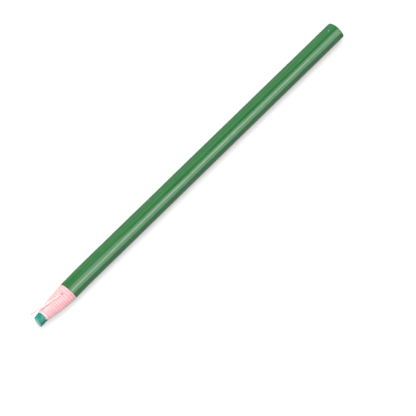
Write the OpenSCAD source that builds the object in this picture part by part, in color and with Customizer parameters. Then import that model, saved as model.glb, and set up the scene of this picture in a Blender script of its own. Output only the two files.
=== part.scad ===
// Wax marking pencil: a wax core in a wound paper barrel, opened by pulling a string.
// Millimetres. The pencil lies along X on z = 0, with its tip at +X and the middle of its length at x = 0.

/* [Pencil] */
// Overall length, from the wax tip to the rear face of the paper
pencil_length = 172; // [140:1:190]
// Outside diameter of the lacquered barrel
barrel_d = 8; // [7:0.1:10]

/* [Wax core] */
// Diameter of the wax core
core_d = 4.64; // [3.6:0.02:5.2]
// Length of bare wax ahead of the paper
wax_bare = 3.8; // [2.5:0.1:8]
// Edge radius of the worn wax tip
tip_round = 1.15; // [0.4:0.05:1.7]
// Depth of the core's rear end below the rear face of the paper
core_recess = 0.3; // [0.1:0.05:1]

/* [Paper winding] */
// Length of the stepped cone, from the paper's front edge to the jacket's front edge
cone_length = 13.8; // [13:0.1:20]
// Turns of the strip whose edges show on the cone
cone_turns = 13; // [8:1:18]
// How much wider the turns are spaced towards the rear
pitch_growth = 0.31; // [0.05:0.01:0.6]
// Bare lip of the innermost layer ahead of the first step
front_lip = 0.45; // [0.2:0.05:1]
// Thickness of the innermost layer, at the lip
lip_t = 0.08; // [0.06:0.01:0.3]
// Paper rim left bare just ahead of the jacket
paper_rim = 0.4; // [0.2:0.05:1]
// Radius of the paper's outer edge at the rear end
rear_round = 0.55; // [0.2:0.05:1]
// Angle from the top of the pencil to the cut end of the strip, positive to the left of the tip
seam_angle = -50; // [-180:5:180]

/* [Jacket] */
// Thickness of the lacquered jacket
jacket_t = 0.12; // [0.08:0.01:0.3]
// Length of the jacket's front section, which the next pull of the string opens
peel_length = 16; // [8:1:40]
// Paper left bare at the rear, behind the jacket
rear_bare = 0.25; // [0.1:0.05:0.5]

/* [String] */
// Diameter of the pull string
string_d = 0.5; // [0.4:0.05:0.7]
// Distance of the exit hole behind the paper's front edge
exit_back = 9.9; // [8:0.1:11.5]
// Angle from the top of the pencil to the exit hole, positive to the left of the tip
exit_angle = 7; // [-30:0.2:30]
// Slope of the string where it comes out of the paper
rise_angle = 45; // [35:1:60]
// Length of the free tail
tail_length = 13.9; // [10:0.1:16]
// Turn of the tail out to the left of the tip
tail_swing = 7.5; // [0:0.5:20]
// Bend of the tail along its length
tail_bow = 5; // [2:0.5:12]

/* [Fits] */
// Radial gap between core, paper and jacket
fit_gap = 0.05; // [0.03:0.01:0.1]
// Gap round the string, and between its tail and the cone
string_gap = 0.12; // [0.08:0.01:0.2]

/* [Hidden] */
$fn = 64;

barrel_r = barrel_d / 2;
core_r = core_d / 2;
string_r = string_d / 2;
bore_r = core_r + fit_gap;
paper_r = barrel_r - jacket_t - fit_gap;
axis_z = barrel_r;

tip_x = pencil_length / 2;
rear_x = -pencil_length / 2;
paper_front_x = tip_x - wax_bare;
jacket_front_x = paper_front_x - cone_length;
section_x = jacket_front_x - peel_length;
paper_length = paper_front_x - rear_x;

// The strip climbs one step a turn, and the last step is the front rim of the full paper tube
lip_r = bore_r + lip_t;
rim_share = 0.3;
step = (paper_r - lip_r) / (cone_turns + 1 + rim_share);
rim_back = cone_length - paper_rim;
mean_pitch = (rim_back - front_lip) / cone_turns;
wound_span = rim_back - front_lip - rim_share * mean_pitch;
facets = 32;
stations = cone_turns * facets;
tube_overlap = 1;
cut_past = 1;
cut_angle = 20;

// Distance of the strip's edge behind the paper's front edge, after a number of turns
function edge_back(turn) =
    let (share = turn / cone_turns)
    front_lip + wound_span * share * (1 + pitch_growth * share) / (1 + pitch_growth);

// Distance from one edge to the next at a number of turns
function edge_pitch(turn) =
    wound_span * (1 + 2 * pitch_growth * turn / cone_turns) / (1 + pitch_growth) / cone_turns;

// Number of turns at a distance behind the paper's front edge
function turns_at(back) =
    let (share = (back - front_lip) / wound_span * (1 + pitch_growth))
    cone_turns * (sqrt(1 + 4 * pitch_growth * share) - 1) / (2 * pitch_growth);

// Radius of the strip's outer face at a number of turns
function strip_top(turn) = lip_r + step * (turn + 1);

// A point of the winding: distance behind the front edge, radius, and turns round from the seam
function wound_point(back, r, turn) =
    let (a = seam_angle - 360 * turn)
    [paper_front_x - back, -r * sin(a), axis_z + r * cos(a)];

exit_turn = turns_at(exit_back);
exit_x = paper_front_x - exit_back;
pivot_r = strip_top(exit_turn) + string_gap + string_r;
tail_drop = atan(step / edge_pitch(exit_turn));
bow_r = tail_length / (tail_bow * PI / 180);

// The string lies on the core, then bends up in one arc that ends just short of the tail
run_r = bore_r + string_r;
tail_clear = string_r + string_gap;
rise_r = (pivot_r - tail_clear * sin(rise_angle) - run_r) / (1 - cos(rise_angle));
rise_x = -tail_clear * cos(rise_angle) - rise_r * sin(rise_angle);

// Turns a shape drawn along +Z into one along +X, on the pencil's axis, from a given x
module along_axis(x) {
    translate([x, 0, axis_z]) rotate([0, 90, 0]) children();
}

// The frame of the exit hole: +X towards the tip, +Z straight out of the pencil, from its axis
module at_exit() {
    translate([exit_x, 0, axis_z]) rotate([exit_angle, 0, 0]) children();
}

// Half profile of a rod with one rounded end at y = start
module round_end_profile(r, start, finish, edge) {
    translate([0, start]) square([r - edge, finish - start]);
    translate([0, start + edge]) square([r, finish - start - edge]);
    translate([r - edge, start + edge]) intersection() {
        circle(edge);
        translate([0, -edge]) square(edge);
    }
}

// The paper's rear outline, grown outwards by an even amount
module rear_profile(grow, finish) {
    round_end_profile(paper_r + grow, -grow, finish, rear_round + grow);
}

// The strip's helical edges as one closed surface: shelves one step high, from the lip back into the tube
module wound_cone() {
    front = [for (i = [0 : facets]) wound_point(0, lip_r + step * i / facets, i / facets)];
    low = [for (g = [0 : stations]) wound_point(edge_back(g / facets), lip_r + step * g / facets, g / facets)];
    high = [for (g = [0 : stations]) wound_point(edge_back(g / facets), strip_top(g / facets), g / facets)];
    back = [for (i = [0 : facets])
        wound_point(rim_back + tube_overlap, lip_r + step * (cone_turns + i / facets), i / facets)];
    centres = [[paper_front_x, 0, axis_z], [paper_front_x - rim_back - tube_overlap, 0, axis_z]];

    low_0 = facets + 1;
    high_0 = low_0 + stations + 1;
    back_0 = high_0 + stations + 1;
    front_centre = back_0 + facets + 1;
    back_centre = front_centre + 1;
    function upper(g) = g < 0 ? g + facets : high_0 + g;
    function lower(g) = g > stations ? back_0 + g - stations : low_0 + g;
    function quad(a, b, c, d) = [[a, c, b], [a, d, c]];

    shelves = [for (g = [-facets : stations - 1])
        each quad(upper(g), upper(g + 1), lower(g + facets + 1), lower(g + facets))];
    edges = [for (g = [0 : stations - 1]) each quad(low_0 + g, low_0 + g + 1, high_0 + g + 1, high_0 + g)];
    front_seam = concat([[high_0, facets, facets - 1]], quad(0, low_0, high_0, facets));
    back_seam = concat([[back_0, back_0 + 1, low_0 + stations]],
        quad(high_0 + stations, low_0 + stations, back_0, back_0 + facets));
    front_cap = concat([for (i = [0 : facets - 2]) [i, i + 1, front_centre]],
        [[facets - 1, 0, front_centre], [facets - 1, facets, 0]]);
    back_cap = concat([for (i = [0 : facets - 2]) [back_0 + i + 1, back_0 + i, back_centre]],
        [[back_0, back_0 + facets - 1, back_centre], [back_0, back_0 + facets, back_0 + facets - 1]]);

    polyhedron(concat(front, low, high, back, centres),
        concat(shelves, edges, front_seam, back_seam, front_cap, back_cap));
}

// The string's way along the core and up to its exit, as a round rod of radius r.
// It runs on past both ends by a length at the rear and by an angle at the exit.
module string_way(r, past, past_angle) {
    rear_end = rear_x - exit_x - past;
    translate([rise_x, 0, run_r]) rotate([0, -90, 0]) cylinder(h = rise_x - rear_end, r = r);
    translate([rise_x, 0, run_r + rise_r])
        rotate([90, 0, 0]) rotate([0, 0, -90])
            rotate_extrude(angle = rise_angle + past_angle) translate([rise_r, 0]) circle(r);
}

module wax_core() {
    color("#2f9e8a")
        along_axis(tip_x)
            mirror([0, 0, 1])
                rotate_extrude() round_end_profile(core_r, 0, pencil_length - core_recess, tip_round);
}

module paper_winding() {
    color("#f4b6c0")
        difference() {
            union() {
                wound_cone();
                along_axis(rear_x) rotate_extrude() rear_profile(0, paper_length - rim_back);
            }
            along_axis(rear_x - cut_past) cylinder(h = paper_length + 2 * cut_past, r = bore_r);
            at_exit() string_way(string_r + string_gap, cut_past, cut_angle);
        }
}

module lacquered_jacket() {
    color("#3c8a48")
        along_axis(rear_x)
            rotate_extrude()
                difference() {
                    rear_profile(fit_gap + jacket_t, section_x - rear_x);
                    rear_profile(fit_gap, section_x - rear_x + cut_past);
                    translate([0, rear_bare - rear_round - barrel_r]) square([barrel_d, rear_round + barrel_r]);
                }
}

// The same jacket carried on to its front edge, as the length that comes off next
module peel_section() {
    color("#3c8a48")
        along_axis(section_x)
            rotate_extrude() translate([paper_r + fit_gap, 0]) square([jacket_t, peel_length]);
}

module pull_string() {
    color("#fff6d8") at_exit() string_way(string_r, 0, 0);
}

module string_tail() {
    color("#fff6d8")
        at_exit() translate([0, 0, pivot_r]) rotate([0, 0, -tail_swing]) rotate([0, tail_drop, 0])
            translate([0, -bow_r, 0]) {
                translate([0, bow_r, 0]) sphere(string_r);
                rotate([0, 0, 90 - tail_bow])
                    rotate_extrude(angle = tail_bow) translate([bow_r, 0]) circle(string_r);
                rotate([0, 0, -tail_bow]) translate([0, bow_r, 0]) sphere(string_r);
            }
}

wax_core();
paper_winding();
lacquered_jacket();
peel_section();
pull_string();
string_tail();
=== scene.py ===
# %% [markdown]
# # A wax marking pencil
# This pencil is a stick of coloured wax in a paper barrel. The paper is one narrow strip, wound and glued
# round the stick, and a cotton string under it slits the strip when more wax is needed.
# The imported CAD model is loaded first. It fixes every place and size, and each piece below is built round it.

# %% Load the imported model
import bmesh
import bpy
import numpy as np
from mathutils import Matrix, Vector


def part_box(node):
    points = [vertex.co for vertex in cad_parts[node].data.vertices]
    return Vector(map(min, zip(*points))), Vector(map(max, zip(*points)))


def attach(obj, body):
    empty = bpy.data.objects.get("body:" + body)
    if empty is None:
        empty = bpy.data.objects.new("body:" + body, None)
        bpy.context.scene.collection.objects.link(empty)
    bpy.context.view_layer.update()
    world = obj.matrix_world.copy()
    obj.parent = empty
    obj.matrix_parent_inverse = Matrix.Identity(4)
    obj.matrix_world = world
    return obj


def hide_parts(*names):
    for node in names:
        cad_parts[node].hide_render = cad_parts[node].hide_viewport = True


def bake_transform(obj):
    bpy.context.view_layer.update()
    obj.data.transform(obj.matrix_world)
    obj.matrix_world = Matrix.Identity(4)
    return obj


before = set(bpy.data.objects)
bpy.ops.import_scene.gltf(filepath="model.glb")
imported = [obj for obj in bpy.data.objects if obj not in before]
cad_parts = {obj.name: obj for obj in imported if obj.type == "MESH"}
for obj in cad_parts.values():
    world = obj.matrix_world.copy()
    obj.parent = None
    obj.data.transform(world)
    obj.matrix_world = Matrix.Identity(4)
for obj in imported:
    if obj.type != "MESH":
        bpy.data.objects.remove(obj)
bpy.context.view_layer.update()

MM = 0.001

# %% [markdown]
# The camera comes first, because all later choices are judged through it. It looks down on the pencil from
# the tip's end and a little from the right, through a long lens, so the barrel narrows only slightly
# towards the rear. Azimuth, elevation and roll are easier to reason about than a finished matrix.

# %% Camera
camera_target = np.array([5.479, 15.181, 3.950])
camera_distance = 828.8
azimuth, elevation, roll = np.radians([24.257, 73.538, 20.360])
toward_camera = np.array([np.cos(elevation) * np.cos(azimuth), np.cos(elevation) * np.sin(azimuth),
                          np.sin(elevation)])
level_right = np.array([-np.sin(azimuth), np.cos(azimuth), 0.0])
level_up = np.cross(toward_camera, level_right)
image_right = np.cos(roll) * level_right + np.sin(roll) * level_up
image_up = np.cos(roll) * level_up - np.sin(roll) * level_right
camera_place = camera_target + camera_distance * toward_camera

camera_data = bpy.data.cameras.new("camera")
camera_data.sensor_width = 36.0
camera_data.lens = 181.77
camera_data.clip_start, camera_data.clip_end = 0.01, 20.0
camera = bpy.data.objects.new("camera", camera_data)
bpy.context.scene.collection.objects.link(camera)
camera_matrix = np.eye(4)
camera_matrix[:3, :3] = np.stack([image_right, image_up, toward_camera], axis=1)
camera_matrix[:3, 3] = camera_place * MM
camera.matrix_world = Matrix(camera_matrix.tolist())
bpy.context.scene.camera = camera
print("camera at, mm:", camera_place.round(1).tolist())

# %% [markdown]
# The CAD boxes give the main lengths. The rest of the winding's numbers repeat the CAD source, because the
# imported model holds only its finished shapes. Everything is worked out in millimetres and turned into
# metres at the moment it becomes a mesh.

# %% Sizes from the CAD model
wax_box, paper_box, jacket_box, peel_box = (
    np.array([list(corner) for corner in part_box(node)]) / MM
    for node in ("wax_core", "paper_winding", "lacquered_jacket", "peel_section"))
tip_x, wax_rear_x = wax_box[1, 0], wax_box[0, 0]
paper_front_x, rear_x = paper_box[1, 0], paper_box[0, 0]
lacquer_front_x, lacquer_rear_x = peel_box[1, 0], jacket_box[0, 0]
axis_z = jacket_box[:, 2].mean()
barrel_r = (jacket_box[1, 2] - jacket_box[0, 2]) / 2

core_r, bore_r, lip_r, paper_r = 2.32, 2.37, 2.45, 3.83
lacquer_inner_r, rear_round = 3.88, 0.55
print(f"tip {tip_x:.2f}, paper {paper_front_x:.2f}, lacquer {lacquer_front_x:.2f}, rear {rear_x:.2f},"
      f" barrel radius {barrel_r:.3f}")


# %% [markdown]
# Real handwork is never perfectly round. A sum of a few sine waves with whole numbers of crests round the
# pencil gives a gentle unevenness that closes on itself, which random noise on a grid would not do.
# The soft front end also leans a little to the right, and the rear end was cut a little out of square. Both are
# in the one function that places every point, so that all pieces follow them together.

# %% Shared shape helpers
def smooth_step(value):
    """3v^2 - 2v^3 for v held between 0 and 1: a slope that starts and ends level."""
    held = np.clip(value, 0.0, 1.0)
    return held * held * (3.0 - 2.0 * held)


def unevenness(along, angle, seed, length, waves=7, crests=6):
    """About -1 to 1: the scaled sum of sine waves, each with its own wavelength along the pencil (near the given
    length), its own whole number of crests round it and its own phase, all drawn from a seeded generator."""
    draw = np.random.default_rng(seed)
    total = 0.0
    for _ in range(waves):
        total = total + np.sin(2 * np.pi * along / (length * draw.uniform(0.6, 1.9))
                               + draw.integers(-crests, crests + 1) * angle + draw.uniform(0, 2 * np.pi))
    return total / np.sqrt(waves)


lean_start_x, lean_full_x = 58.0, 74.0
barrel_lean, cone_lean = 0.28, 0.16


def tip_lean(x):
    """Sideways shift of the soft front end, in mm: a smooth step that is complete half way along the cone, and from
    there a little more that grows with the square of the way to the tip."""
    forward = np.clip((x - lean_full_x) / (tip_x - lean_full_x), 0.0, 1.0)
    stepped = smooth_step((x - lean_start_x) / (lean_full_x - lean_start_x))
    return barrel_lean * stepped + cone_lean * forward * forward


rear_cut, rear_cut_reach = 0.07, 5.0


def around_axis(x, r, angle):
    """Points at distance r from the pencil's axis. The angle starts at the top and grows towards the left of
    the tip, so y is minus r times its sine and z is r times its cosine above the axis. Over the last few
    millimetres at the rear, x also falls by a growing share of y."""
    x, r, angle = np.broadcast_arrays(x, r, angle)
    y = tip_lean(x) - r * np.sin(angle)
    out_of_square = rear_cut * smooth_step((rear_x + rear_cut_reach - x) / rear_cut_reach)
    return np.stack([x - out_of_square * y, y, axis_z + r * np.cos(angle)], axis=-1)


def turned_angles(count):
    """The angles of the stations round one turn, without the repeat of the first."""
    return np.arange(count) * 2 * np.pi / count


print("unevenness at one place:", round(float(unevenness(0.0, 0.0, 1, 10.0)), 3))


# %% [markdown]
# Every piece is a grid of points. Joining each point to its neighbours gives four-cornered faces, and one
# function puts the arrays into a mesh. It also turns the faces outwards and counts the edges that don't
# have exactly two faces, so a seam left open is noticed at once.

# %% Shared mesh helpers
def grid_faces(index, close_rows=False, close_columns=False):
    """Faces between neighbouring rows and columns of a table of point numbers, which may close on itself."""
    if close_columns:
        index = np.concatenate([index, index[:, :1]], axis=1)
    if close_rows:
        index = np.concatenate([index, index[:1]], axis=0)
    corners = (index[:-1, :-1], index[:-1, 1:], index[1:, 1:], index[1:, :-1])
    return np.stack(corners, axis=-1).reshape(-1, 4)


def fan_faces(centre, rim):
    """Triangles from one point to each pair of neighbours in a row of point numbers."""
    return np.stack([np.full(len(rim) - 1, centre), rim[:-1], rim[1:]], axis=-1)


def open_edges(faces):
    """How many edges don't have exactly two faces."""
    pairs = np.concatenate([np.stack([f, np.roll(f, -1, axis=1)], axis=-1).reshape(-1, 2) for f in faces])
    counts = np.unique(np.sort(pairs, axis=1), axis=0, return_counts=True)[1]
    return int((counts != 2).sum())


def make_piece(name, points, faces, materials, corner_uv=None, face_material=None, painted_shade=None, sharp=50.0):
    """A mesh object at the origin from points in mm and a list of face tables with three or four corners each.
    corner_uv has one pair for each corner in order, and stain one number for each point."""
    mesh = bpy.data.meshes.new(name)
    corners = np.concatenate([table.ravel() for table in faces])
    counts = np.concatenate([np.full(len(table), table.shape[1]) for table in faces])
    mesh.vertices.add(len(points))
    mesh.vertices.foreach_set("co", (points * MM).astype(np.float32).ravel())
    mesh.loops.add(len(corners))
    mesh.loops.foreach_set("vertex_index", corners.astype(np.int32))
    mesh.polygons.add(len(counts))
    mesh.polygons.foreach_set("loop_start", (np.cumsum(counts) - counts).astype(np.int32))
    mesh.polygons.foreach_set("use_smooth", np.ones(len(counts), bool))
    for material in materials:
        mesh.materials.append(material)
    if face_material is not None:
        mesh.polygons.foreach_set("material_index", face_material.astype(np.int32))
    if corner_uv is not None:
        mesh.uv_layers.new(name="strip").uv.foreach_set("vector", corner_uv.astype(np.float32).ravel())
    if painted_shade is not None:
        mesh.attributes.new("painted_shade", "FLOAT", "POINT").data.foreach_set("value", painted_shade.astype(np.float32))
    mesh.update(calc_edges=True)
    outward = bmesh.new()
    outward.from_mesh(mesh)
    bmesh.ops.recalc_face_normals(outward, faces=outward.faces)
    outward.to_mesh(mesh)
    outward.free()
    mesh.set_sharp_from_angle(angle=np.radians(sharp))
    piece = bpy.data.objects.new(name, mesh)
    bpy.context.scene.collection.objects.link(piece)
    low, high = points.min(axis=0).round(2).tolist(), points.max(axis=0).round(2).tolist()
    print(f"{name}: {len(points)} points, {int((counts - 2).sum())} triangles, {open_edges(faces)} open edges,"
          f" from {low} to {high} mm")
    return piece


# %% [markdown]
# Colours are written as they look on a screen and turned into the linear values that the shaders use.
# One small function adds any node with its settings, its fixed values and its links.

# %% Shared material helpers
def linear(hex_code):
    """Screen colour to linear: below 0.04045 divide by 12.92, else ((c + 0.055) / 1.055) to the power 2.4."""
    screen = np.array([int(hex_code[i:i + 2], 16) for i in (1, 3, 5)]) / 255.0
    straight = np.where(screen <= 0.04045, screen / 12.92, ((screen + 0.055) / 1.055) ** 2.4)
    return (*straight.tolist(), 1.0)


def add_node(tree, kind, sockets=None, **settings):
    """One node: settings are its own properties, and each named or numbered input takes a value or a link."""
    node = tree.nodes.new(kind)
    for name, value in settings.items():
        setattr(node, name, value)
    for key, value in (sockets or {}).items():
        if isinstance(value, bpy.types.NodeSocket):
            tree.links.new(value, node.inputs[key])
        else:
            node.inputs[key].default_value = value
    return node


def new_finish(name):
    """An empty material and its node tree."""
    finish = bpy.data.materials.new(name)
    finish.use_nodes = True
    finish.node_tree.nodes.clear()
    return finish, finish.node_tree


print("linear mid grey:", round(linear("#808080")[0], 4))

# %% [markdown]
# ## The wax stick
# The stick is cast from pigmented wax. It is soft, so writing has worn its end a little aslant, further back on
# the left, and rounded the corner. It shines a little, light goes a short way into it, and rubbing leaves pale
# streaks along it. Subsurface scattering gives that depth, and two sizes of noise give the clouds and the rubbed
# streaks. The right side is painted darker as shade, and the end is scuffed pale with a painted highlight on it.

# %% Finish: pigmented wax, cast and rubbed
wax_finish, tree = new_finish("pigmented_wax_cast_and_rubbed")
place = add_node(tree, "ShaderNodeTexCoord").outputs["Object"]
# clouds of pigment about 1.6 mm across
cloud = add_node(tree, "ShaderNodeTexNoise", {"Vector": place, "Scale": 1 / (1.6 * MM), "Detail": 3.0})
# rubbed streaks 0.5 mm wide and 2.5 mm long, drawn wider than real ones so that they show
streak_place = add_node(tree, "ShaderNodeMapping", {
    "Vector": place, "Rotation": (0.0, 0.0, np.radians(12)),
    "Scale": (1 / (2.5 * MM), 1 / (0.5 * MM), 1 / (0.5 * MM))}).outputs["Vector"]
streak = add_node(tree, "ShaderNodeTexNoise", {"Vector": streak_place, "Scale": 1.0, "Detail": 2.0})
cloud_share = add_node(tree, "ShaderNodeMapRange", {"Value": cloud.outputs["Fac"], 1: 0.36, 2: 0.66})
streak_share = add_node(tree, "ShaderNodeMapRange", {"Value": streak.outputs["Fac"], 1: 0.54, 2: 0.72, 4: 0.75})
clouded = add_node(tree, "ShaderNodeMix", {0: cloud_share.outputs[0], 6: linear("#1b766a"), 7: linear("#2c8b7e")},
                   data_type="RGBA").outputs[2]
rubbed = add_node(tree, "ShaderNodeMix", {0: streak_share.outputs[0], 6: clouded, 7: linear("#469a90")},
                  data_type="RGBA").outputs[2]
# painted shade: the right side, which turns away from the light, is painted darker
wax_xyz = add_node(tree, "ShaderNodeSeparateXYZ", {0: place})
right_shade_share = add_node(tree, "ShaderNodeMapRange", {"Value": wax_xyz.outputs["Y"], 1: 0.7 * MM, 2: 1.9 * MM, 4: 0.6})
right_shaded = add_node(tree, "ShaderNodeMix", {0: right_shade_share.outputs[0], 6: rubbed, 7: linear("#116256")},
                    data_type="RGBA").outputs[2]
# the end is worn aslant, by this much at the stick's side, and from its middle to the right it is scuffed pale, with a
# painted highlight in the same place
end_slant = 0.36
aslant = add_node(tree, "ShaderNodeMath", {
    0: wax_xyz.outputs["Y"], 1: -end_slant / core_r, 2: wax_xyz.outputs["X"]}, operation="MULTIPLY_ADD")
on_end = add_node(tree, "ShaderNodeMapRange", {
    "Value": aslant.outputs[0], 1: (tip_x - 1.05) * MM, 2: (tip_x - 0.65) * MM})
end_right = add_node(tree, "ShaderNodeMapRange", {"Value": wax_xyz.outputs["Y"], 1: -1.2 * MM, 2: 0.6 * MM, 4: 0.5})
scuff_and_highlight = add_node(tree, "ShaderNodeMath", {0: on_end.outputs[0], 1: end_right.outputs[0]}, operation="MULTIPLY")
scuffed_and_lit = add_node(tree, "ShaderNodeMix", {0: scuff_and_highlight.outputs[0], 6: right_shaded, 7: linear("#7fbdb0")},
                   data_type="RGBA").outputs[2]
dents = add_node(tree, "ShaderNodeBump", {"Height": streak.outputs["Fac"], "Strength": 0.5, "Distance": 0.06 * MM})
dull = add_node(tree, "ShaderNodeMapRange", {"Value": cloud.outputs["Fac"], 3: 0.30, 4: 0.46})
# clean wax has an IOR of about 1.44, and a rubbed and dusty face mirrors less
shader = add_node(tree, "ShaderNodeBsdfPrincipled", {
    "Base Color": scuffed_and_lit, "Roughness": dull.outputs[0], "Normal": dents.outputs[0], "IOR": 1.28,
    "Subsurface Weight": 0.2, "Subsurface Radius": (0.25, 0.6, 0.5), "Subsurface Scale": 1.2 * MM})
add_node(tree, "ShaderNodeOutputMaterial", {"Surface": shader.outputs[0]})
print("finish:", wax_finish.name, len(tree.nodes), "nodes")

# %% [markdown]
# The stick is turned like a vase: a half outline carried round the axis. A cylinder with a bevel would wear
# evenly all round, so here the outline's corner radius, taper and length change with the angle instead.

# %% Wax stick: its outline
wax_angle = turned_angles(144)[None, :]
# added to a column, this carries it round to every angle
all_round = np.zeros(wax_angle.shape)
writing_side = np.radians(80)
to_left = np.cos(wax_angle - writing_side)
corner_r = 0.46 + 0.08 * to_left
face_share = np.linspace(0.04, 1.0, 22)[:, None]
corner_turn = np.linspace(0.0, np.pi / 2, 15)[1:, None]
side_share = np.linspace(1.0, 0.0, 40)[1:, None] ** 1.2
bare_x = paper_front_x - 2.0
side_taper = 0.16


def worn_side(x):
    """Radius of the bare stick: the core's radius, less a worn taper on the left. The taper grows with the way to the
    tip to the power 1.5, and with the square of how far the side faces left."""
    reach = np.clip((x - paper_front_x) / (tip_x - paper_front_x), 0.0, 1.0)
    return core_r - side_taper * reach ** 1.5 * np.clip(to_left, 0.0, 1.0) ** 2


end_r = worn_side(tip_x) - corner_r
crown = 0.10
face_x = tip_x - crown * face_share ** 2 + all_round
face_r = end_r * face_share
round_x = tip_x - crown - corner_r * (1.0 - np.cos(corner_turn))
round_r = end_r + corner_r * np.sin(corner_turn)
straight_x = bare_x + (tip_x - crown - corner_r - bare_x) * side_share
straight_r = worn_side(straight_x)
hidden_x = np.linspace(bare_x - 4.0, wax_rear_x + 0.15, 6)[:, None] + all_round
hidden_r = np.full(hidden_x.shape, core_r)
rear_face_r, rear_hollow = core_r - 0.14, 0.05
rim_x = np.array([wax_rear_x + 0.03, wax_rear_x])[:, None] + all_round
rim_r = np.array([core_r - 0.04, rear_face_r])[:, None] + all_round
inner_share = np.linspace(0.9, 0.05, 14)[:, None]
inner_x = wax_rear_x + rear_hollow * (1 - inner_share ** 2) + all_round
inner_r = rear_face_r * inner_share + all_round
stick_x = np.concatenate([face_x, round_x, straight_x, hidden_x, rim_x, inner_x])
stick_r = np.concatenate([face_r, round_r, straight_r, hidden_r, rim_r, inner_r])
print("stick outline:", stick_x.shape, "corner radius", corner_r.min().round(2), "to", corner_r.max().round(2), "mm")

# %% [markdown]
# The outline so far is smooth, and wax that has been handled is not. Shallow lumps go on its bare side and end, and
# the end is then pushed back aslant. Both work on the whole grid at once, so the surface stays closed.

# %% Wax stick: wear and mesh
side_lumps, end_lumps, worn_back = 0.03, 0.04, 0.22
bare = smooth_step((stick_x - paper_front_x) / 0.8)
stick_r = stick_r + bare * stick_r / core_r * side_lumps * (unevenness(stick_x, wax_angle, 11, 2.2) - 0.2)
near_end = smooth_step((stick_x - paper_front_x - 1.0) / 2.0)
stick_x = stick_x + near_end * end_lumps * (unevenness(stick_r * 1.7, wax_angle, 12, 2.5, crests=3) - 1.2)
slant = end_slant * np.sin(-wax_angle) * stick_r / core_r - worn_back
stick_x = stick_x + near_end * slant
stick_points = around_axis(stick_x, stick_r, wax_angle).reshape(-1, 3)
stick_index = np.arange(len(stick_points)).reshape(stick_x.shape)
tip_point = len(stick_points)
poles = around_axis(np.array([stick_x[0].mean(), stick_x[-1].mean()]), 0.0, 0.0)


def closed(ring):
    """A ring of point numbers with the first one repeated at its end."""
    return np.append(ring, ring[0])


wax_stick = make_piece("wax_stick", np.concatenate([stick_points, poles]), [
    grid_faces(stick_index, close_columns=True),
    fan_faces(tip_point, closed(stick_index[0])), fan_faces(tip_point + 1, closed(stick_index[-1]))],
    [wax_finish])
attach(wax_stick, "barrel")
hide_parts("wax_core")

# %% [markdown]
# ## The wound paper
# The strip is thin pink paper, unsized and soft. Where the barrel has been opened, each turn shows a narrow
# shelf and a cut edge, so the cone looks like a fine screw thread. Fresh-cut edges are paler than the face,
# and the foot of each step is painted darker as shade. Separate colours on thousands of faces would give hard
# borders, so the mesh's own map says how far across its shelf a point is, and the finish follows every turn by it.

# %% Finish: soft wound paper, dyed pink
paper_finish, tree = new_finish("soft_wound_paper_dyed_pink")
place = add_node(tree, "ShaderNodeTexCoord").outputs["Object"]
strip = add_node(tree, "ShaderNodeSeparateXYZ", {0: add_node(tree, "ShaderNodeUVMap", uv_map="strip").outputs[0]})
# blotches of dye about 2 mm across, and fibres 0.2 mm wide, drawn a little coarser than real ones
blotch = add_node(tree, "ShaderNodeTexNoise", {"Vector": place, "Scale": 1 / (2.0 * MM), "Detail": 3.0})
fibre_place = add_node(tree, "ShaderNodeMapping", {
    "Vector": place, "Scale": (1 / (0.2 * MM), 1 / (0.6 * MM), 1 / (0.6 * MM))}).outputs["Vector"]
fibre = add_node(tree, "ShaderNodeTexNoise", {"Vector": fibre_place, "Scale": 1.0, "Detail": 4.0})
foot_share = add_node(tree, "ShaderNodeMapRange", {"Value": strip.outputs["Y"], 1: 0.60, 2: 0.96},
                      interpolation_type="SMOOTHSTEP")
edge_share = add_node(tree, "ShaderNodeMapRange", {"Value": strip.outputs["Y"], 1: 0.34, 2: 0.08},
                      interpolation_type="SMOOTHSTEP")
# painted shade at the foot of each step, deeper on the right, which turns away from the light
paper_xyz = add_node(tree, "ShaderNodeSeparateXYZ", {0: place})
to_right = add_node(tree, "ShaderNodeMapRange", {
    "Value": paper_xyz.outputs["Y"], 1: -3 * MM, 2: 3 * MM, 3: 0.5, 4: 0.85})
foot_painted_shade = add_node(tree, "ShaderNodeMath", {0: foot_share.outputs[0], 1: to_right.outputs[0]}, operation="MULTIPLY")
face_mix = add_node(tree, "ShaderNodeMapRange", {"Value": blotch.outputs["Fac"], 1: 0.3, 2: 0.7})
face = add_node(tree, "ShaderNodeMix", {0: face_mix.outputs[0], 6: linear("#ffbabe"), 7: linear("#ffc4c8")},
                data_type="RGBA").outputs[2]
foot = add_node(tree, "ShaderNodeMix", {0: foot_painted_shade.outputs[0], 6: face, 7: linear("#ec8891")},
                data_type="RGBA").outputs[2]
edge = add_node(tree, "ShaderNodeMix", {0: edge_share.outputs[0], 6: foot, 7: linear("#ffc3c8")},
                data_type="RGBA").outputs[2]
# painted shade: a dark red speck in and behind the string's hole
painted_shade = add_node(tree, "ShaderNodeAttribute", attribute_name="painted_shade").outputs["Fac"]
hole_shaded = add_node(tree, "ShaderNodeMix", {0: painted_shade, 6: edge, 7: linear("#c03c49")}, data_type="RGBA").outputs[2]
nap = add_node(tree, "ShaderNodeBump", {"Height": fibre.outputs["Fac"], "Strength": 0.35, "Distance": 0.03 * MM})
# light goes through the layers and comes out redder; the lip is a single layer, too thin for that
depth = add_node(tree, "ShaderNodeMapRange", {
    "Value": paper_xyz.outputs["X"], 1: (paper_front_x - 2.2) * MM, 2: (paper_front_x - 0.4) * MM, 3: 0.85, 4: 0.1})
shader = add_node(tree, "ShaderNodeBsdfPrincipled", {
    "Base Color": hole_shaded, "Roughness": 0.9, "Specular IOR Level": 0.06, "Normal": nap.outputs[0],
    "Subsurface Weight": depth.outputs[0], "Subsurface Radius": (1.0, 0.4, 0.35), "Subsurface Scale": 1.6 * MM})
add_node(tree, "ShaderNodeOutputMaterial", {"Surface": shader.outputs[0]})
print("finish:", paper_finish.name, len(tree.nodes), "nodes")

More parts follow.
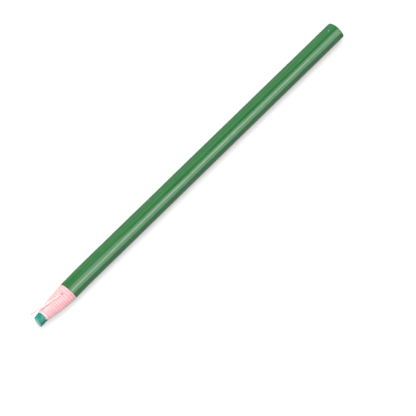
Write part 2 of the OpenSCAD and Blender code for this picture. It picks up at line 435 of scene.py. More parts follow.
# %% [markdown]
# At the rear the same strip is seen end on, as a spiral of layers under 0.1 mm thick. The saw leaves the cut matt
# and a little fuzzy. The layers are too fine to model one by one, so a ring pattern centred on the axis shows them.

# %% Finish: saw-cut end of the wound paper
end_finish, tree = new_finish("wound_paper_saw_cut_end")
place = add_node(tree, "ShaderNodeTexCoord").outputs["Object"]
centred = add_node(tree, "ShaderNodeMapping", {"Vector": place, "Location": (0.0, 0.0, -axis_z * MM)}).outputs["Vector"]
# thickness of one layer of the paper, in mm
layer_t = 0.096503
# a ring each two layers, 0.19 mm, so that the layers show
layers = add_node(tree, "ShaderNodeTexWave", {
    "Vector": centred, "Scale": np.pi / 10 / (2 * layer_t * MM), "Distortion": 0.6, "Detail": 2.0, "Detail Scale": 2.0},
    wave_type="RINGS", rings_direction="X")
# torn fibres in tufts of 0.35 mm
saw_fuzz = add_node(tree, "ShaderNodeTexNoise", {"Vector": place, "Scale": 1 / (0.35 * MM), "Detail": 4.0})
ring_mix = add_node(tree, "ShaderNodeMapRange", {"Value": layers.outputs["Fac"], 3: 0.1, 4: 0.9})
ring_colour = add_node(tree, "ShaderNodeMix", {0: ring_mix.outputs[0], 6: linear("#dc939d"), 7: linear("#f2c5ca")},
                       data_type="RGBA").outputs[2]
fuzzy = add_node(tree, "ShaderNodeBump", {"Height": saw_fuzz.outputs["Fac"], "Strength": 0.5, "Distance": 0.04 * MM})
shader = add_node(tree, "ShaderNodeBsdfPrincipled", {
    "Base Color": ring_colour, "Roughness": 0.92, "Specular IOR Level": 0.2, "Normal": fuzzy.outputs[0]})
add_node(tree, "ShaderNodeOutputMaterial", {"Surface": shader.outputs[0]})
print("finish:", end_finish.name, len(tree.nodes), "nodes")

# %% [markdown]
# The winding could be a stack of rings, but then no edge would lead into the next, and a real strip climbs
# without a break. So one long grid follows the strip: its rows are stations along the winding, and its
# columns go up the cut edge and back along the shelf. The last column of one turn is the first of the next,
# so the turns share points and the surface stays closed.

# %% Wound paper: the strip's course
cone_turns, seam_angle = 13, np.radians(-50)
front_lip, wound_span, pitch_growth = 0.45, 12.651, 0.31
per_turn, drawn_turns = 160, 14
station = np.arange((drawn_turns + 1) * per_turn + 1)
turn = station / per_turn - 1.0
strip_angle = seam_angle - 2 * np.pi * turn

# forward reach of the torn front edge, in mm, by angle in degrees: a torn flake stands out beside a small nick
torn_angle = [-180, -110, -80, -66, -62, -57, -53, -49, -45, -42, -36, 0, 30, 50, 90, 140, 180]
torn_reach = [0.06, 0.06, 0.10, 0.08, -0.10, -0.14, 0.20, 0.50, 0.62, 0.50, 0.10, 0.10, 0.22, 0.38, 0.34, 0.14, 0.06]
torn = np.interp(np.degrees(strip_angle), torn_angle, torn_reach, period=360)

share = turn / cone_turns
edge_back = front_lip + wound_span * share * (1 + pitch_growth * share) / (1 + pitch_growth)
edge_wander, edge_start = 0.035, 0.06
edge_back = edge_back + edge_wander * unevenness(turn * 5.0, strip_angle, 21, 2.0, crests=9)
edge_back = edge_start + (edge_back - edge_start) * smooth_step(turn / 0.5)
edge_back = np.where(turn < 0, -torn, edge_back)
top_r = np.minimum(lip_r + layer_t * (turn + 1), paper_r)
foot_r = np.where(turn < 0, bore_r, np.minimum(lip_r + layer_t * turn, paper_r))
tube_back = 15.5
next_back = np.concatenate([edge_back[per_turn:], np.full(per_turn, tube_back)])
print(f"strip: {len(station)} stations, edge from {edge_back.min():.2f} to {edge_back.max():.2f} mm behind the front")

# %% [markdown]
# Across one shelf, the cut edge rises from the foot, curls up a little where the strip was pulled off, and
# the face falls back to the foot of the next edge. Bump in the finish could fake this, but the steps show in the
# outline too, so they are real.

# %% Wound paper: the shelf's profile
curl_height = 0.035
curl = curl_height * (1.0 + 0.5 * unevenness(turn * 4.0, strip_angle, 22, 3.0))
curl = curl * smooth_step((cone_turns - turn) / 1.5) * smooth_step((turn + 0.6) / 2.0)
across = np.array([0.07, 0.18, 0.36, 0.58, 0.80, 0.95])
edge_top = edge_back + 0.01
shelf_back = edge_top[:, None] + across * (next_back - edge_top)[:, None]
shelf_r = top_r[:, None] + curl[:, None] * (1 - across) ** 2
strip_back = np.column_stack([edge_back, edge_back - 0.012, edge_top, shelf_back])
strip_r = np.column_stack([foot_r, foot_r + 0.55 * (top_r - foot_r), top_r + curl, shelf_r])
profile_v = np.array([0.0, 0.06, 0.12, 0.18, 0.28, 0.44, 0.63, 0.83, 0.96, 1.0])
strip_x = paper_front_x - strip_back
# handling has pressed the cone a little oval, so its sides stand out
oval = 0.24
pressed = smooth_step((strip_back - 0.8) / 6.0) * smooth_step((15.0 - strip_back) / 3.0)
strip_r = strip_r + oval * pressed * np.sin(strip_angle)[:, None] ** 2
print("shelf profile:", strip_r.shape, "curl up to", round(float(curl.max()), 3), "mm")

# %% [markdown]
# The string comes up through a small hole in the cone. Cutting it out of the grid would leave ragged edges, so the
# grid is pushed in to a pit with a raised rim, longer than wide because the string comes up at a slope. The hole and
# the string lie one degree further left than in the CAD model, as a closer look at the real cone showed.

# %% Wound paper: the exit hole
exit_x, exit_angle, hole_r = 72.3, np.radians(8.0), 3.55
hole_angle = exit_angle + tip_lean(exit_x) / hole_r
from_exit = np.arctan2(np.sin(strip_angle - hole_angle), np.cos(strip_angle - hole_angle))[:, None]


def exit_ellipse(back, right, half_long, half_wide):
    """Distance from a place behind and to the right of the exit, as a share of an ellipse: the hypotenuse of the
    two distances, along the pencil and round it, each divided by its half size. All in mm."""
    return np.hypot((strip_x - exit_x + back) / half_long, (from_exit * strip_r + right) / half_wide)


pit_depth, pit_edge, rim_height, rim_edge, rim_width = 0.26, 1.3, 0.06, 1.35, 0.3
hole_reach = exit_ellipse(back=0.42, right=0.16, half_long=0.36, half_wide=0.32)
raised_rim = rim_height * np.exp(-((hole_reach - rim_edge) / rim_width) ** 2)
strip_r = strip_r - pit_depth * smooth_step(pit_edge - hole_reach) + raised_rim
# painted shade in and behind the exit hole, strongest just behind it
hole_painted_shade = np.exp(-exit_ellipse(back=0.74, right=0.20, half_long=0.36, half_wide=0.36) ** 2)
strip_points = around_axis(strip_x, strip_r, strip_angle[:, None])
print("deepest point of the exit hole, mm from the axis:", round(float(strip_r[hole_reach < 0.5].min()), 2))

# %% [markdown]
# Behind the cone the strip goes on as a plain tube, hidden by the lacquer, to the rounded rear end. There the
# saw-cut layers make a fine spiral ripple, and the string's end lies in a small dent beside the wax. One outline
# carried round the axis gives all of it, and goes back through the bore, so that the wall has its thickness.

# %% Wound paper: tube, rear end and bore
ring_angle = strip_angle[:per_turn]
tube_rows = [(paper_front_x - tube_back, paper_r), (40.0, paper_r), (0.0, paper_r), (-60.0, paper_r)]
round_turn = np.linspace(0.0, np.pi / 2, 12)
round_rows = np.stack([rear_x + rear_round * (1 - np.sin(round_turn)),
                       paper_r - rear_round * (1 - np.cos(round_turn))], axis=1)
face_r_rows = np.linspace(paper_r - rear_round, bore_r + 0.04, 71)[1:]
face_rows = np.stack([np.full(len(face_r_rows), rear_x), face_r_rows], axis=1)
bore_rows = [(rear_x + 0.05, bore_r), (rear_x + 1.0, bore_r), (-40.0, bore_r), (20.0, bore_r), (70.0, bore_r)]
tube = np.concatenate([tube_rows, round_rows, face_rows, bore_rows])[:, None, :]
tube_x, tube_r = tube[..., 0] + 0.0 * ring_angle, tube[..., 1] + 0.0 * ring_angle
on_face = smooth_step((rear_x + 0.02 - tube_x) / 0.02 + 1.0) * (tube_r < paper_r - 0.3)
spiral = 2 * np.pi * tube_r / (2 * layer_t) + ring_angle
ripple = 0.02
tube_x = tube_x + on_face * ripple * (1 + np.sin(spiral) + 0.5 * unevenness(tube_r * 2.0, ring_angle, 23, 0.7))
run_r, thread_r = 2.62, 0.25
dent_depth, dent_r = 0.30, 0.36
from_string = np.hypot(tube_r * np.sin(ring_angle - exit_angle), tube_r * np.cos(ring_angle - exit_angle) - run_r)
tube_x = tube_x + on_face * dent_depth * np.exp(-(from_string / dent_r) ** 4)
tube_points = around_axis(tube_x, tube_r, ring_angle)
face_start = len(tube_rows) + len(round_rows)
face_stop = face_start + len(face_rows)
print("rear face, ripple and dent, mm:", round(float(np.ptp(tube_x[face_start:face_stop])), 3))

# %% [markdown]
# The strip and the tube have to become one closed surface. Joining two finished meshes would mean a search for
# points that meet, so the tables of point numbers are joined instead: each shelf ends on the foot of the next edge,
# the last shelf ends on the tube, and the bore comes back to the front lip.

# %% Wound paper: join the grids
columns = strip_points.shape[1]
strip_index = np.arange(strip_points[..., 0].size).reshape(strip_points.shape[:2])
tube_index = strip_index.size + np.arange(tube_points[..., 0].size).reshape(tube_points.shape[:2])
last = len(station) - 1
next_foot = np.concatenate([strip_index[per_turn:, 0], np.roll(tube_index[0], -1)])
strip_table = np.column_stack([strip_index, next_foot])
shelves = grid_faces(strip_table)
front_gap = fan_faces(strip_index[per_turn - 1, 0], np.append(strip_index[0], strip_index[per_turn, 0]))
back_gap = fan_faces(tube_index[0, 1], np.append(strip_index[last], tube_index[0, 0]))
bore_front = strip_index[:per_turn, 0]
tube_faces = grid_faces(np.concatenate([tube_index, bore_front[None, :]]), close_columns=True)
shelf_u = np.repeat(turn[:, None], columns + 1, axis=1)
shelf_v = np.repeat(profile_v[None, :], len(turn), axis=0)
shelf_uv = np.stack([grid_faces(shelf_u), grid_faces(shelf_v)], axis=-1).reshape(-1, 2)
plain_uv = np.full((front_gap.size + back_gap.size + tube_faces.size, 2), 0.5)
face_ring = np.arange(len(tube_faces)) // per_turn
rounded_paper_rings = 3
is_end = (face_ring >= len(tube_rows) + rounded_paper_rings) & (face_ring <= face_stop)
finish_number = np.concatenate([np.zeros(len(shelves) + len(front_gap) + len(back_gap), int), is_end.astype(int)])
wound_paper = make_piece(
    "wound_paper", np.concatenate([strip_points.reshape(-1, 3), tube_points.reshape(-1, 3)]),
    [shelves, front_gap, back_gap, tube_faces], [paper_finish, end_finish],
    corner_uv=np.concatenate([shelf_uv, plain_uv]), face_material=finish_number,
    painted_shade=np.concatenate([hole_painted_shade.ravel(), np.zeros(tube_index.size)]))
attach(wound_paper, "barrel")
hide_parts("paper_winding")

# %% [markdown]
# ## The lacquered barrel
# The finished pencil is drawn through green lacquer, which dries to a thin hard skin. The skin is smooth but
# not flat: it follows the paper below in long shallow streaks, and handling leaves a few small scratches and
# chips. A clear reflection comes from a low roughness, and the streaks bend it a little.

# %% Finish: green lacquer, drawn and dried
lacquer_finish, tree = new_finish("green_lacquer_drawn_and_dried")
place = add_node(tree, "ShaderNodeTexCoord").outputs["Object"]
# streaks 0.5 mm wide and 14 mm long from the drawing
drawn_place = add_node(tree, "ShaderNodeMapping", {
    "Vector": place, "Scale": (1 / (14 * MM), 1 / (0.5 * MM), 1 / (0.5 * MM))}).outputs["Vector"]
drawn = add_node(tree, "ShaderNodeTexNoise", {"Vector": drawn_place, "Scale": 1.0, "Detail": 3.0})
# cloudy patches 5 mm long, and specks about 0.4 mm across
patch = add_node(tree, "ShaderNodeTexNoise", {"Vector": place, "Scale": 1 / (5 * MM), "Detail": 3.0})
speck = add_node(tree, "ShaderNodeTexNoise", {"Vector": place, "Scale": 1 / (0.4 * MM), "Detail": 1.0})
streak_mix = add_node(tree, "ShaderNodeMapRange", {"Value": drawn.outputs["Fac"], 1: 0.3, 2: 0.7})
streaked = add_node(tree, "ShaderNodeMix", {0: streak_mix.outputs[0], 6: linear("#195e2c"), 7: linear("#236d31")},
                    data_type="RGBA").outputs[2]
speck_mix = add_node(tree, "ShaderNodeMapRange", {"Value": speck.outputs["Fac"], 1: 0.68, 2: 0.78, 4: 0.5})
specked = add_node(tree, "ShaderNodeMix", {0: speck_mix.outputs[0], 6: streaked, 7: linear("#4f874e")},
                   data_type="RGBA").outputs[2]
gloss = add_node(tree, "ShaderNodeMapRange", {"Value": patch.outputs["Fac"], 1: 0.3, 2: 0.7, 3: 0.11, 4: 0.17})
skin = add_node(tree, "ShaderNodeBump", {"Height": drawn.outputs["Fac"], "Strength": 0.18, "Distance": 0.03 * MM})
print("finish:", lacquer_finish.name, len(tree.nodes), "nodes so far")

# %% [markdown]
# The marks of use are few and each has its own place, so each is a small round gradient, stretched and turned
# to the shape of the mark: two fine scratches on top, a pale chip by the rear end, and two more on the sides.

# %% Finish: marks of use on the lacquer
# centre in mm, half size in mm along and across, turn in degrees, colour
marks = [((-66.65, 1.5, 7.7), (0.25, 0.85), 5, "#4f8a56"), ((-64.5, -0.9, 7.9), (0.7, 0.2), -10, "#4f8a56"),
         ((-82.2, -1.55, 7.68), (0.45, 0.35), 0, "#63bfae"), ((20.5, -3.2, 6.4), (0.9, 0.2), 15, "#6f9d6f"),
         ((-31.0, 3.0, 1.4), (0.8, 0.25), -30, "#7aa578")]
mark_depth = 1.2
marked = specked
for centre, (half_long, half_wide), degrees, colour in marks:
    mark_place = add_node(tree, "ShaderNodeMapping", {
        "Vector": place, "Location": [c * MM for c in centre], "Rotation": (0.0, 0.0, np.radians(degrees)),
        "Scale": (half_long * MM, half_wide * MM, mark_depth * MM)}, vector_type="TEXTURE").outputs["Vector"]
    mark = add_node(tree, "ShaderNodeTexGradient", {"Vector": mark_place}, gradient_type="SPHERICAL")
    mark_mix = add_node(tree, "ShaderNodeMapRange", {"Value": mark.outputs["Fac"], 1: 0.1, 2: 0.6, 4: 0.8})
    marked = add_node(tree, "ShaderNodeMix", {0: mark_mix.outputs[0], 6: marked, 7: linear(colour)},
                      data_type="RGBA").outputs[2]
shader = add_node(tree, "ShaderNodeBsdfPrincipled", {
    "Base Color": marked, "Roughness": gloss.outputs[0], "Normal": skin.outputs[0], "IOR": 1.5})
add_node(tree, "ShaderNodeOutputMaterial", {"Surface": shader.outputs[0]})
print("finish:", lacquer_finish.name, len(tree.nodes), "nodes,", len(marks), "marks")

# %% [markdown]
# The skin is a thin tube. Its outline goes round one wall: out over the front edge, along the outside, round the
# rear corner and back along the inside. A plain tube thickened by a modifier would have an even rim, and the real
# rim is worn on one side, so every angle gets an outline of its own.

# %% Lacquered barrel: its outline
skin_angle = turned_angles(192)[None, :]
skin_t = barrel_r - lacquer_inner_r
lip_turn = np.linspace(-np.pi / 2, np.pi / 2, 7)
front_rows = np.stack([lacquer_front_x - skin_t / 2 + skin_t / 2 * np.cos(lip_turn),
                       (barrel_r + lacquer_inner_r) / 2 + skin_t / 2 * np.sin(lip_turn)], axis=1)
rear_centre = np.array([rear_x + rear_round, paper_r - rear_round])
outer_corner, inner_corner = barrel_r - rear_centre[1], lacquer_inner_r - rear_centre[1]
outer_stop, inner_stop = (np.arcsin((rear_centre[0] - lacquer_rear_x) / r) for r in (outer_corner, inner_corner))
outside_x = np.concatenate([lacquer_front_x - 3.0 * np.linspace(0.06, 1.0, 16) ** 1.3,
                            np.linspace(lacquer_front_x - 5.0, rear_centre[0] + 2.0, 70)])
outside_rows = np.stack([outside_x, np.full(len(outside_x), barrel_r)], axis=1)
# beside the top, on the right, the lacquer is worn back from the rear rim
worn_angle, worn_width, worn_share = -25.0, 30.0, 0.40
from_worn = (np.degrees(skin_angle) - worn_angle + 180.0) % 360 - 180.0
worn_rear = 1.0 - worn_share * np.exp(-(from_worn / worn_width) ** 2)
corner_rows = [np.stack([rear_centre[0] - r * np.sin(a), rear_centre[1] + r * np.cos(a)], axis=-1)
               for r, a in ((outer_corner, outer_stop * worn_rear * np.linspace(0.0, 1.0, 10)[:, None]),
                            (inner_corner, inner_stop * worn_rear * np.linspace(1.0, 0.0, 6)[:, None]))]
inside_rows = [(x, lacquer_inner_r) for x in (-60.0, 0.0, 50.0, lacquer_front_x - 3.0, lacquer_front_x - 0.6)]
round_the_axis = np.ones(skin_angle.shape[1])[None, :, None]
skin_rows = np.concatenate([np.concatenate([front_rows, outside_rows])[:, None, :] * round_the_axis, *corner_rows,
                            np.array(inside_rows)[:, None, :] * round_the_axis])
print(f"skin: {len(skin_rows)} rows, {skin_t:.2f} mm thick, worn back at the rear by up to {1 - worn_rear.min():.0%}")

# %% [markdown]
# The front edge was torn along the winding, so it runs further forward on the left than on the right. A few places
# along it give its course, and waves with many crests give its small teeth. The outside follows the paper below in
# long shallow waves, which bend the reflections a little.

# %% Lacquered barrel: torn edge and mesh
# forward reach of the torn front edge, in mm, by angle in degrees
torn_skin_angle = [-180, -150, -98, -75, -60, -29, -2, 20, 29, 40, 50, 75, 110, 150, 180]
torn_skin_reach = [0.1, -0.45, -0.4, -0.35, -0.13, -0.02, 0.2, 0.27, 0.28, 0.34, 0.42, 0.5, 0.6, 0.5, 0.1]
skin_reach = np.interp(np.degrees(skin_angle), torn_skin_angle, torn_skin_reach, period=360)
teeth, skin_waves = 0.05, 0.012
skin_reach = skin_reach + teeth * unevenness(0.0 * skin_angle, skin_angle, 31, 1.0, waves=9, crests=26)
skin_x, skin_r = skin_rows[..., 0], skin_rows[..., 1]
outer_share = smooth_step((skin_r - lacquer_inner_r) / skin_t)
skin_r = skin_r + outer_share * skin_waves * (unevenness(skin_x, skin_angle, 32, 28.0, crests=3) - 1.2)
skin_x = skin_x + skin_reach * smooth_step((skin_x - lacquer_front_x + 3.2) / 3.0)
skin_points = around_axis(skin_x, skin_r, skin_angle).reshape(-1, 3)
skin_index = np.arange(len(skin_points)).reshape(skin_x.shape)
lacquered_barrel = make_piece("lacquered_barrel", skin_points,
                              [grid_faces(skin_index, close_rows=True, close_columns=True)], [lacquer_finish])
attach(lacquered_barrel, "barrel")
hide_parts("lacquered_jacket", "peel_section")

# %% [markdown]
# ## The pull string
# The string is cotton, spun from three plies. It is matt and slightly fuzzy, and its colour is a warm white
# that darkens a little in the grooves between the plies. Towards the free end it is painted greyer, as shade.
# How far along the thread a point lies can't be told from its place, so the mesh carries it as an attribute.

# %% Finish: spun cotton, three plies
cotton_finish, tree = new_finish("spun_cotton_three_plies")
place = add_node(tree, "ShaderNodeTexCoord").outputs["Object"]
# fibres 0.08 mm wide, drawn four times coarser than real ones
lint = add_node(tree, "ShaderNodeTexNoise", {"Vector": place, "Scale": 1 / (0.08 * MM), "Detail": 2.0})
tuft = add_node(tree, "ShaderNodeTexNoise", {"Vector": place, "Scale": 1 / (0.9 * MM), "Detail": 2.0})
tuft_mix = add_node(tree, "ShaderNodeMapRange", {"Value": tuft.outputs["Fac"], 1: 0.3, 2: 0.7})
clean = add_node(tree, "ShaderNodeMix", {0: tuft_mix.outputs[0], 6: linear("#e4dac9"), 7: linear("#f0e8da")},
                 data_type="RGBA").outputs[2]
# painted shade: greyer towards the free end
end_shade = add_node(tree, "ShaderNodeAttribute", attribute_name="painted_shade").outputs["Fac"]
cotton_colour = add_node(tree, "ShaderNodeMix", {0: end_shade, 6: clean, 7: linear("#c5c0b5")},
                         data_type="RGBA").outputs[2]
hairy = add_node(tree, "ShaderNodeBump", {"Height": lint.outputs["Fac"], "Strength": 0.5, "Distance": 0.02 * MM})
shader = add_node(tree, "ShaderNodeBsdfPrincipled", {
    "Base Color": cotton_colour, "Roughness": 0.9, "Specular IOR Level": 0.2, "Normal": hairy.outputs[0],
    "Sheen Weight": 0.15, "Sheen Roughness": 0.5})
add_node(tree, "ShaderNodeOutputMaterial", {"Surface": shader.outputs[0]})
print("finish:", cotton_finish.name, len(tree.nodes), "nodes")

# %% [markdown]
# The string is one thread: it runs along the wax under the paper, rises through the hole and lies forward
# over the cone. Its line is worked out in the frame of the hole, where the first axis points to the tip and
# the third straight out of the pencil. Two cubics carry it up through the hole and over the edge of the paper:
# each is fixed by the place and the direction at its two ends.

# %% Pull string: its line
# the tail swings 1.3 degrees further left than in the CAD model and slopes 2.4 degrees less, so that its shadow
# falls beside it, and its cut end is a little shorter
pivot_r, tail_bow, tail_swing, tail_drop = 3.9034, np.radians(5), np.radians(8.8), np.radians(2.6)
tail_length, tail_shown = 13.9, 13.55
bow_r = tail_length / tail_bow
rise_start, hole_slope, bend_reach = -2.3, np.radians(68), 0.42


def cubic(start, start_slope, end, end_slope, count):
    """The points inside a cubic Hermite curve: ends and end slopes, each times its own cubic weight of the share."""
    b = np.linspace(0.0, 1.0, count + 2)[1:-1, None]
    return ((2 * b**3 - 3 * b**2 + 1) * start + (b**3 - 2 * b**2 + b) * start_slope
            + (3 * b**2 - 2 * b**3) * end + (b**3 - b**2) * end_slope)


run = np.linspace(rear_x - exit_x + 0.06, -9.0, 14)
near = np.linspace(-8.6, rise_start, 60)
run_line, near_line = (np.stack([x, 0 * x, np.full(len(x), run_r)], axis=1) for x in (run, near))
tail_points = 200
bow = np.linspace(bend_reach / bow_r, tail_bow * tail_shown / tail_length, tail_points)
flat = np.stack([bow_r * np.sin(bow), bow_r * (np.cos(bow) - 1)], axis=1)
dropped = np.stack([flat[:, 0] * np.cos(tail_drop), flat[:, 1], -flat[:, 0] * np.sin(tail_drop)], axis=1)
tail_line = np.stack([dropped[:, 0] * np.cos(tail_swing) + dropped[:, 1] * np.sin(tail_swing),
                      dropped[:, 1] * np.cos(tail_swing) - dropped[:, 0] * np.sin(tail_swing),
                      dropped[:, 2] + pivot_r], axis=1)
in_hole = np.array([-0.22, 0.0, 3.44])
up_hole = np.array([np.cos(hole_slope), 0.0, np.sin(hole_slope)])
tail_ahead = (tail_line[1] - tail_line[0]) / np.linalg.norm(tail_line[1] - tail_line[0])
rise_points, run_pull, hole_pull, bend_pull = 40, np.array([1.8, 0.0, 0.0]), 1.2, 0.62
rise_line = np.concatenate([cubic(near_line[-1], run_pull, in_hole, hole_pull * up_hole, rise_points), [in_hole]])
bend_line = cubic(in_hole, bend_pull * up_hole, tail_line[0], bend_pull * tail_ahead, 16)
line = np.concatenate([run_line, near_line, rise_line, bend_line, tail_line])
length_along = np.concatenate([[0.0], np.cumsum(np.linalg.norm(np.diff(line, axis=0), axis=1))])
free_length = length_along[-1] - length_along[len(run) + len(near) + rise_points]
print(f"string: {length_along[-1]:.1f} mm in all, {free_length:.1f} mm free")


# %% [markdown]
# Each ply is a thin tube that winds round the thread's line. One tube with a twisted pattern would have a smooth
# outline, and a real thread's is knobbly. Only the part near the hole and beyond shows, so the hidden run keeps its
# plies straight. At the cut end the plies loosen and spread.

# %% Pull string: plies
def hole_frame(points):
    """From the frame of the hole to the pencil's: turned about the axis by the hole's angle and moved to it."""
    c, s = np.cos(exit_angle), np.sin(exit_angle)
    x, y, z = points[..., 0], points[..., 1], points[..., 2]
    return np.stack([x + exit_x, y * c - z * s, y * s + z * c + axis_z], axis=-1)


def line_axes(lines):
    """Three axes of length one at each point of one or more lines: ahead is the line's direction, sideways is the
    second axis with its part along the line taken out, and upward is square to both."""
    ahead = np.gradient(lines, axis=-2)
    ahead = ahead / np.linalg.norm(ahead, axis=-1, keepdims=True)
    sideways = np.array([0.0, 1.0, 0.0]) - ahead[..., 1:2] * ahead
    sideways = sideways / np.linalg.norm(sideways, axis=-1, keepdims=True)
    return ahead, sideways, np.cross(ahead, sideways)


def tube_round(lines, radius, sides):
    """Tubes round several lines at once: at each point of a line, a ring of the given radius round it, from cosine
    times the sideways axis plus sine times the upward one."""
    _, sideways, upward = line_axes(lines)
    ring = turned_angles(sides)[:, None]
    return (lines[:, :, None] + radius[..., None, None] * (
        np.cos(ring) * sideways[:, :, None] + np.sin(ring) * upward[:, :, None]))


ahead, sideways, upward = line_axes(line)
twist_length, frayed_length = 1.5, 1.3
twist = 2 * np.pi * np.clip(length_along - length_along[len(run)], 0.0, None) / twist_length
frayed = np.clip(1.0 - (length_along[-1] - length_along) / frayed_length, 0.0, 1.0)
ply_turn = twist + turned_angles(3)[:, None]
ply_spread = 0.20 * np.array([1.0, 0.55, 0.8])[:, None]
ply_off = thread_r / 2 + ply_spread * frayed ** 2
plies = line + ply_off[..., None] * (np.cos(ply_turn)[..., None] * sideways + np.sin(ply_turn)[..., None] * upward)
ply_r = thread_r / 2 * (1.16 - 0.65 * frayed ** 2) + np.zeros(ply_off.shape)
ply_points = tube_round(plies, ply_r, 12)
print("plies:", ply_points.shape)

# %% [markdown]
# Single fibres stand off the cut end and here and there along the tail. Each is a hair-thin tube on a bent
# line, far thicker than a real fibre, so that it shows at all.

# %% Pull string: loose fibres
draw = np.random.default_rng(41)
hairs, hairs_at_end, end_points, clear_points = 30, 14, 14, 10
is_at_end = np.arange(hairs) < hairs_at_end
at = np.where(is_at_end, len(line) - 1 - draw.integers(0, end_points, hairs),
              draw.integers(len(line) - tail_points + clear_points, len(line) - clear_points, hairs))
hair_length = np.where(is_at_end, draw.uniform(0.5, 1.1, hairs), draw.uniform(0.25, 0.6, hairs))
hair_turn, hair_spread = draw.uniform(0, 2 * np.pi, hairs), draw.uniform(0.15, 0.55, hairs)
outward = np.cos(hair_turn)[:, None] * sideways[at] + np.sin(hair_turn)[:, None] * upward[at]
grow = np.linspace(0.0, 1.0, 9)[None, :, None]
hair_root = 0.12
hair_off = hair_root + (hair_spread * hair_length)[:, None, None] * grow ** 1.6
hair_lines = (line[at][:, None] + outward[:, None] * hair_off
              + ahead[at][:, None] * hair_length[:, None, None] * grow)
hair_r = 0.016 * (1.0 - 0.6 * grow[..., 0]) + np.zeros((hairs, 1))
hair_points = tube_round(hair_lines, hair_r, 5)
print("fibres:", hair_points.shape)


# %% [markdown]
# All plies and fibres go into one mesh, so that the whole thread is one piece.

# %% Pull string: one mesh
def tube_faces_of(points, first):
    """Faces of several tubes numbered from first, each with its ends closed by a fan round its first point."""
    index = first + np.arange(points[..., 0].size).reshape(points.shape[:3])
    walls = np.concatenate([grid_faces(one, close_columns=True) for one in index])
    ends = np.concatenate([fan_faces(ring[0], ring[1:]) for one in index for ring in (one[0], one[-1])])
    return walls, ends


ply_walls, ply_ends = tube_faces_of(ply_points, 0)
hair_walls, hair_ends = tube_faces_of(hair_points, ply_points[..., 0].size)
string_points = hole_frame(np.concatenate([ply_points.reshape(-1, 3), hair_points.reshape(-1, 3)]))
# painted shade over the last 6.5 mm of the tail, fading in over 4.5 mm
end_shade_length, end_shade_fade = 6.5, 4.5
toward_free_end = smooth_step((length_along - length_along[-1] + end_shade_length) / end_shade_fade)
free_end_painted_shade = np.concatenate([np.broadcast_to(toward_free_end[None, :, None], ply_points.shape[:3]).ravel(),
                               np.broadcast_to(toward_free_end[at][:, None, None], hair_points.shape[:3]).ravel()])
pull_string = make_piece("pull_string_thread", string_points, [ply_walls, hair_walls, ply_ends, hair_ends],
                         [cotton_finish], painted_shade=free_end_painted_shade)
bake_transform(pull_string)
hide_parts("pull_string", "string_tail")

# %% [markdown]
# ## Floor, light and surroundings
# The floor is plain white. It takes light like any matt white, so it keeps the pencil's shadow, and rays that
# come straight from the camera or from a glossy or clear surface see it lifted to white. The lift adds no
# light to the pencil. Close beside the pencil its reflections lose the lift, as they do in the pencil's own
# shade, so that the gloss doesn't bleach the barrel's edges. Ahead of the tip they keep it, because the end of the
# wax mirrors the floor there. Far off, where the softbox gives little light, the lift grows.

# %% Finish: matt white floor
floor_finish, tree = new_finish("matt_white_floor")
place = add_node(tree, "ShaderNodeTexCoord").outputs["Object"]
# faint grain of 4 mm
grain = add_node(tree, "ShaderNodeTexNoise", {"Vector": place, "Scale": 1 / (4 * MM)})
floor_mix = add_node(tree, "ShaderNodeMix", {0: grain.outputs["Fac"], 6: linear("#b2b2b2"), 7: linear("#b5b5b5")},
                     data_type="RGBA").outputs[2]
matt = add_node(tree, "ShaderNodeBsdfDiffuse", {"Color": floor_mix})
seen = add_node(tree, "ShaderNodeLightPath")
floor_xyz = add_node(tree, "ShaderNodeSeparateXYZ", {0: place})
aside = add_node(tree, "ShaderNodeMath", {0: floor_xyz.outputs["Y"]}, operation="ABSOLUTE")
to_side = add_node(tree, "ShaderNodeMapRange", {"Value": aside.outputs[0], 1: 20 * MM, 2: 200 * MM},
                   interpolation_type="SMOOTHSTEP")
past_tip = add_node(tree, "ShaderNodeMapRange", {
    "Value": floor_xyz.outputs["X"], 1: (tip_x - 2) * MM, 2: (tip_x + 1) * MM})
clear_of_it = add_node(tree, "ShaderNodeMath", {0: to_side.outputs[0], 1: past_tip.outputs[0]}, operation="MAXIMUM")
in_gloss = add_node(tree, "ShaderNodeMath", {0: seen.outputs["Is Glossy Ray"], 1: clear_of_it.outputs[0]},
                    operation="MULTIPLY")
either = add_node(tree, "ShaderNodeMath", {0: seen.outputs["Is Camera Ray"], 1: in_gloss.outputs[0]},
                  operation="MAXIMUM")
seen_any = add_node(tree, "ShaderNodeMath", {0: either.outputs[0], 1: seen.outputs["Is Transmission Ray"]},
                    operation="MAXIMUM")
# the lift grows from 0.2 m to 1.2 m away, where it alone makes the floor white
far = add_node(tree, "ShaderNodeVectorMath", {0: place}, operation="LENGTH")
lift_level = add_node(tree, "ShaderNodeMapRange", {"Value": far.outputs["Value"], 1: 0.2, 2: 1.2, 3: 0.47})
lift = add_node(tree, "ShaderNodeMath", {0: seen_any.outputs[0], 1: lift_level.outputs[0]}, operation="MULTIPLY")
lifted = add_node(tree, "ShaderNodeEmission", {"Color": (1, 1, 1, 1), "Strength": lift.outputs[0]})
both = add_node(tree, "ShaderNodeAddShader", {0: matt.outputs[0], 1: lifted.outputs[0]})
add_node(tree, "ShaderNodeOutputMaterial", {"Surface": both.outputs[0]})
print("finish:", floor_finish.name, len(tree.nodes), "nodes")

# %% [markdown]
# The floor is one square, a hair under the pencil so that the two surfaces don't flicker where they touch. It is far
# wider than the view, so its edge never shows.

# %% Floor
half_floor, floor_drop = 2500.0, 0.03
floor_points = np.array([[-1, -1, 0], [1, -1, 0], [1, 1, 0], [-1, 1, 0]]) * half_floor - [0, 0, floor_drop]
floor_mesh = bpy.data.meshes.new("floor")
floor_mesh.from_pydata((floor_points * MM).tolist(), [], [(0, 1, 2, 3)])
floor_mesh.materials.append(floor_finish)
floor = bpy.data.objects.new("floor", floor_mesh)
bpy.context.scene.collection.objects.link(floor)
print("floor:", floor_mesh.polygons[0].area, "square metres")


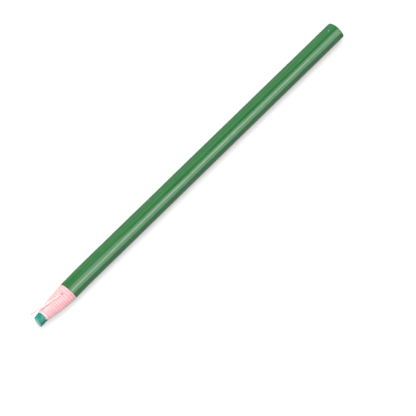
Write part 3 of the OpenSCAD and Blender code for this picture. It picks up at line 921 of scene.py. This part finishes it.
# %% [markdown]
# A broad softbox overhead gives most of the light, so the barrel is brightest on top and falls off to both
# sides. It is kept out of the reflections. Those come from two wide softboxes, one on each side of the camera,
# with a dark gap between them. A strip in front of the right one draws the bright line along the barrel, and a dim
# strip in front of the left one gives the gap a clear edge. The left softbox ends short of the tip, and a small one
# in front of the gap widens the bright band near the tip. All these show in reflections only. A small card beyond
# the tip lights the matt end of the wax.
# Each is placed by its angle from straight up, because a reflection on a round barrel depends on angles alone.

# %% Lights
def softbox(name, angle, tilt, forward, distance, width, length, radiance, lights):
    """An area light that faces the pencil. Angle is from straight up towards the right, tilt is from there towards
    the tip, and forward is the point on the axis that it faces. Angles are in degrees and lengths in mm. Its power
    is four times its radiance times its area. It either lights matt surfaces or shows in reflections."""
    light = bpy.data.lights.new(name, "AREA")
    light.shape, light.size, light.size_y = "RECTANGLE", width * MM, length * MM
    light.energy = 4.0 * radiance * light.size * light.size_y
    lamp = bpy.data.objects.new(name, light)
    lamp.visible_diffuse, lamp.visible_glossy = lights == "matt", lights == "gloss"
    bpy.context.scene.collection.objects.link(lamp)
    turned, tilted = np.radians([angle, tilt])
    across = np.array([0.0, np.sin(turned), np.cos(turned)])
    away = np.cos(tilted) * across + np.array([np.sin(tilted), 0.0, 0.0])
    along = np.array([np.cos(tilted), 0.0, 0.0]) - np.sin(tilted) * across
    matrix = np.eye(4)
    matrix[:3, :3] = np.stack([np.cross(along, away), along, away], axis=1)
    matrix[:3, 3] = (np.array([forward, 0.0, axis_z]) + distance * away) * MM
    lamp.matrix_world = Matrix(matrix.tolist())
    print(f"{name}: {light.energy:.2f} W")


softbox("softbox_overhead", -12, 0, -20, 800, 440, 1400, 3.65, "matt")
softbox("softbox_right", 39, 0, -160, 700, 940, 1300, 2.75, "gloss")
softbox("strip_right", 32, 0, 90, 640, 95, 800, 6.2, "gloss")
softbox("softbox_front", -3, 0, 35, 700, 225, 310, 2.4, "gloss")
softbox("softbox_left", -57, 0, -480, 700, 800, 800, 0.6, "gloss")
softbox("strip_left", -39, 0, -160, 690, 270, 1300, 0.5, "gloss")
softbox("card_at_tip", 4, 72, 86, 70, 70, 50, 2.6, "matt")

# %% [markdown]
# Straight from the camera, and in reflections, the room is white at the horizon and grey overhead. For matt
# surfaces it is one even dim grey, so that it fills the shade without flattening it.

# %% Surroundings
world = bpy.data.worlds.new("studio")
bpy.context.scene.world = world
world.use_nodes = True
tree = world.node_tree
tree.nodes.clear()
height = add_node(tree, "ShaderNodeSeparateXYZ", {0: add_node(tree, "ShaderNodeTexCoord").outputs["Generated"]})
dusk = add_node(tree, "ShaderNodeMapRange", {"Value": height.outputs["Z"], 1: 0.0, 2: 0.5, 3: 1.0, 4: 0.12},
                interpolation_type="SMOOTHSTEP")
path = add_node(tree, "ShaderNodeLightPath")
even = add_node(tree, "ShaderNodeMix", {0: path.outputs["Is Diffuse Ray"], 2: dusk.outputs[0], 3: 0.52})
room = add_node(tree, "ShaderNodeBackground", {"Color": (1, 1, 1, 1), "Strength": even.outputs[0]})
add_node(tree, "ShaderNodeOutputWorld", {"Surface": room.outputs[0]})
bpy.context.scene.view_settings.view_transform = "Standard"
print("surroundings: white at the horizon, grey overhead")
